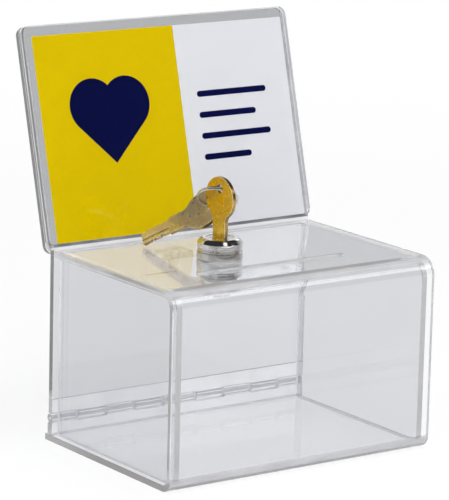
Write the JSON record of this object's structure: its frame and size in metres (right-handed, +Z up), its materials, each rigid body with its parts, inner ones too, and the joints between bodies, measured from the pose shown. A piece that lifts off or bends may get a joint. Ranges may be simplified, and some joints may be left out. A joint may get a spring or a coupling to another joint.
{
  "type": "donation box",
  "caption": "Clear acrylic counter-top donation box with a money slot, a keyed cam lock in the top, and a hinged back door that carries a tilted sign pocket.",
  "frame": {"origin": "middle of the box, left to right and between front face and the top's back edge, on the surface it stands on", "axes": "+X to the right seen from the front, +Y to the back, +Z up"},
  "size_m": [0.1628, 0.1431, 0.209],
  "materials": {
    "clear_sheet": "clear cast acrylic, flame polished bends",
    "clear_panel": "clear cast acrylic, cemented edges",
    "clear_door": "clear cast acrylic",
    "clear_hinge": "clear machined acrylic",
    "clear_spacer": "clear acrylic strip with sawn edges",
    "hinge_steel": "bright drawn wire",
    "lock_chrome": "polished chrome plate",
    "ring_chrome": "turned and chromed",
    "plug_nickel": "nickel plate, faced",
    "inner_steel": "zinc plated",
    "wafer_brass": "stamped",
    "key_brass": "stamped and tumbled",
    "key_ring_steel": "nickel plated spring wire",
    "card_stock": "printed card, yellow and white"
  },
  "bodies": {
    "box": {"wrap_sheet": "clear_sheet", "left_side_panel": "clear_panel", "right_side_panel": "clear_panel", "hinge_sill": "clear_hinge", "hinge_pin": "hinge_steel", "lock_collar": "lock_chrome", "lock_spacer_rings": "ring_chrome", "lock_housing": "lock_chrome", "lock_washer": "inner_steel", "lock_nut": "inner_steel"},
    "plug": {"lock_plug": "plug_nickel", "wafer_tumblers": "wafer_brass", "wafer_springs": "inner_steel", "stop_washer": "inner_steel", "lock_cam": "inner_steel", "cam_washer": "inner_steel", "cam_screw": "inner_steel"},
    "key": {"lock_key": "key_brass"},
    "ring": {"key_ring": "key_ring_steel"},
    "spare": {"spare_key": "key_brass"},
    "door": {"door_sheet": "clear_door", "door_hinge_leaf": "clear_hinge", "header_back_sheet": "clear_door", "left_pocket_spacer": "clear_spacer", "right_pocket_spacer": "clear_spacer", "bottom_pocket_spacer": "clear_spacer", "keeper_arm": "clear_hinge", "keeper_pin": "inner_steel"},
    "card": {"sign_card": "card_stock"}
  },
  "joints": [
    {"name": "lock_turn", "type": "hinge", "parent": "box", "child": "plug", "pos_m": [-0.0157, 0, 0.0993], "axis": [0, 0, 1], "range_deg": [0, 90]},
    {"name": "key_pull", "type": "slide", "parent": "plug", "child": "key", "axis": [0, 0, 1], "range_m": [0, 0.0215]},
    {"name": "ring_swing", "type": "hinge", "parent": "key", "child": "ring", "pos_m": [-0.0157, 0, 0.1346], "axis": [1, 0, 0], "range_deg": [0, 60]},
    {"name": "spare_swing", "type": "hinge", "parent": "ring", "child": "spare", "pos_m": [-0.01138, 0.0144, 0.1227], "axis": [0.8912, -0.3723, -0.2591], "range_deg": [0, 20]},
    {"name": "door_hinge", "type": "hinge", "parent": "box", "child": "door", "pos_m": [0, 0.05585, 0.012], "axis": [-1, 0, 0], "range_deg": [0, 80]},
    {"name": "card_slide", "type": "slide", "parent": "door", "child": "card", "axis": [0, 0.2588, 0.9659], "range_m": [0, 0.09]}
  ]
}
